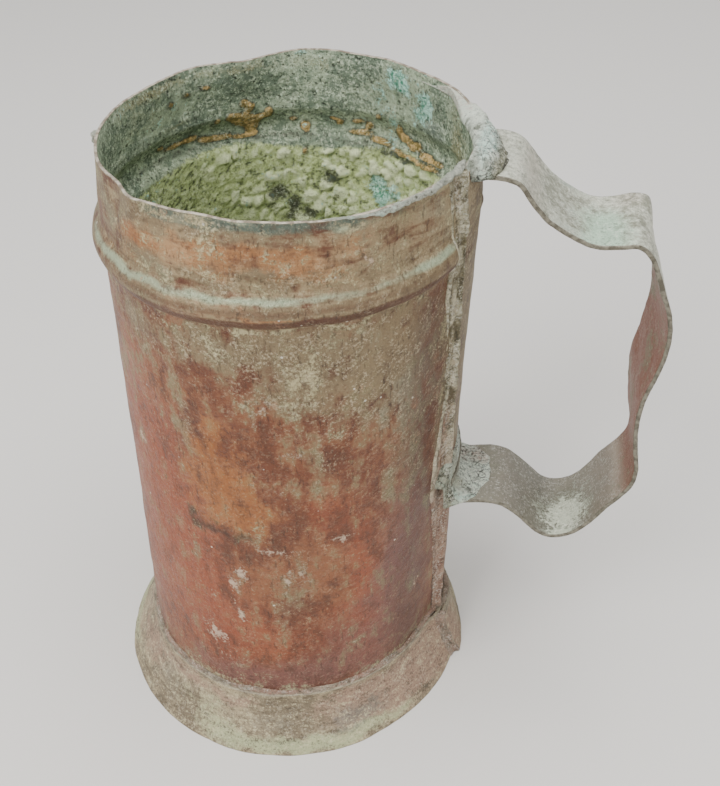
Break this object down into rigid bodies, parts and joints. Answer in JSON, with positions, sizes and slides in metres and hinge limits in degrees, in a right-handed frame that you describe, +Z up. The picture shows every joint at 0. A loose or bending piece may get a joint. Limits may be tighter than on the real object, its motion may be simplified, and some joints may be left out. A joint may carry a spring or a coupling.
{
  "type": "copper measure",
  "caption": "Aged copper liquid measure: a lapped and beaded tube on a flared skirt foot, open at the top, with a wavy strap handle soldered to its side.",
  "frame": {"origin": "under the middle of the object's bounding box, on the surface that it stands on", "axes": "+Z up, +X towards the handle"},
  "size_m": [0.1634, 0.112, 0.184],
  "materials": {
    "aged_copper": "copper sheet with a worn brown and olive patina, crusted inside",
    "grey_copper": "copper sheet, matt grey-green with a mint edge",
    "tinned_copper": "copper strap with worn tinning, silver-grey outside and brown inside",
    "old_solder": "rough soft solder, pale grey-green and crusty"
  },
  "bodies": {
    "root": {"body_sheet": "aged_copper", "seam_solder": "old_solder", "floor_disc": "aged_copper", "floor_solder": "old_solder", "foot_skirt": "grey_copper", "foot_lap_solder": "old_solder", "foot_solder": "old_solder", "handle_strap": "tinned_copper", "upper_handle_solder": "old_solder", "lower_handle_solder": "old_solder", "rim_solder": "old_solder", "rim_nub": "old_solder"}
  },
  "joints": []
}
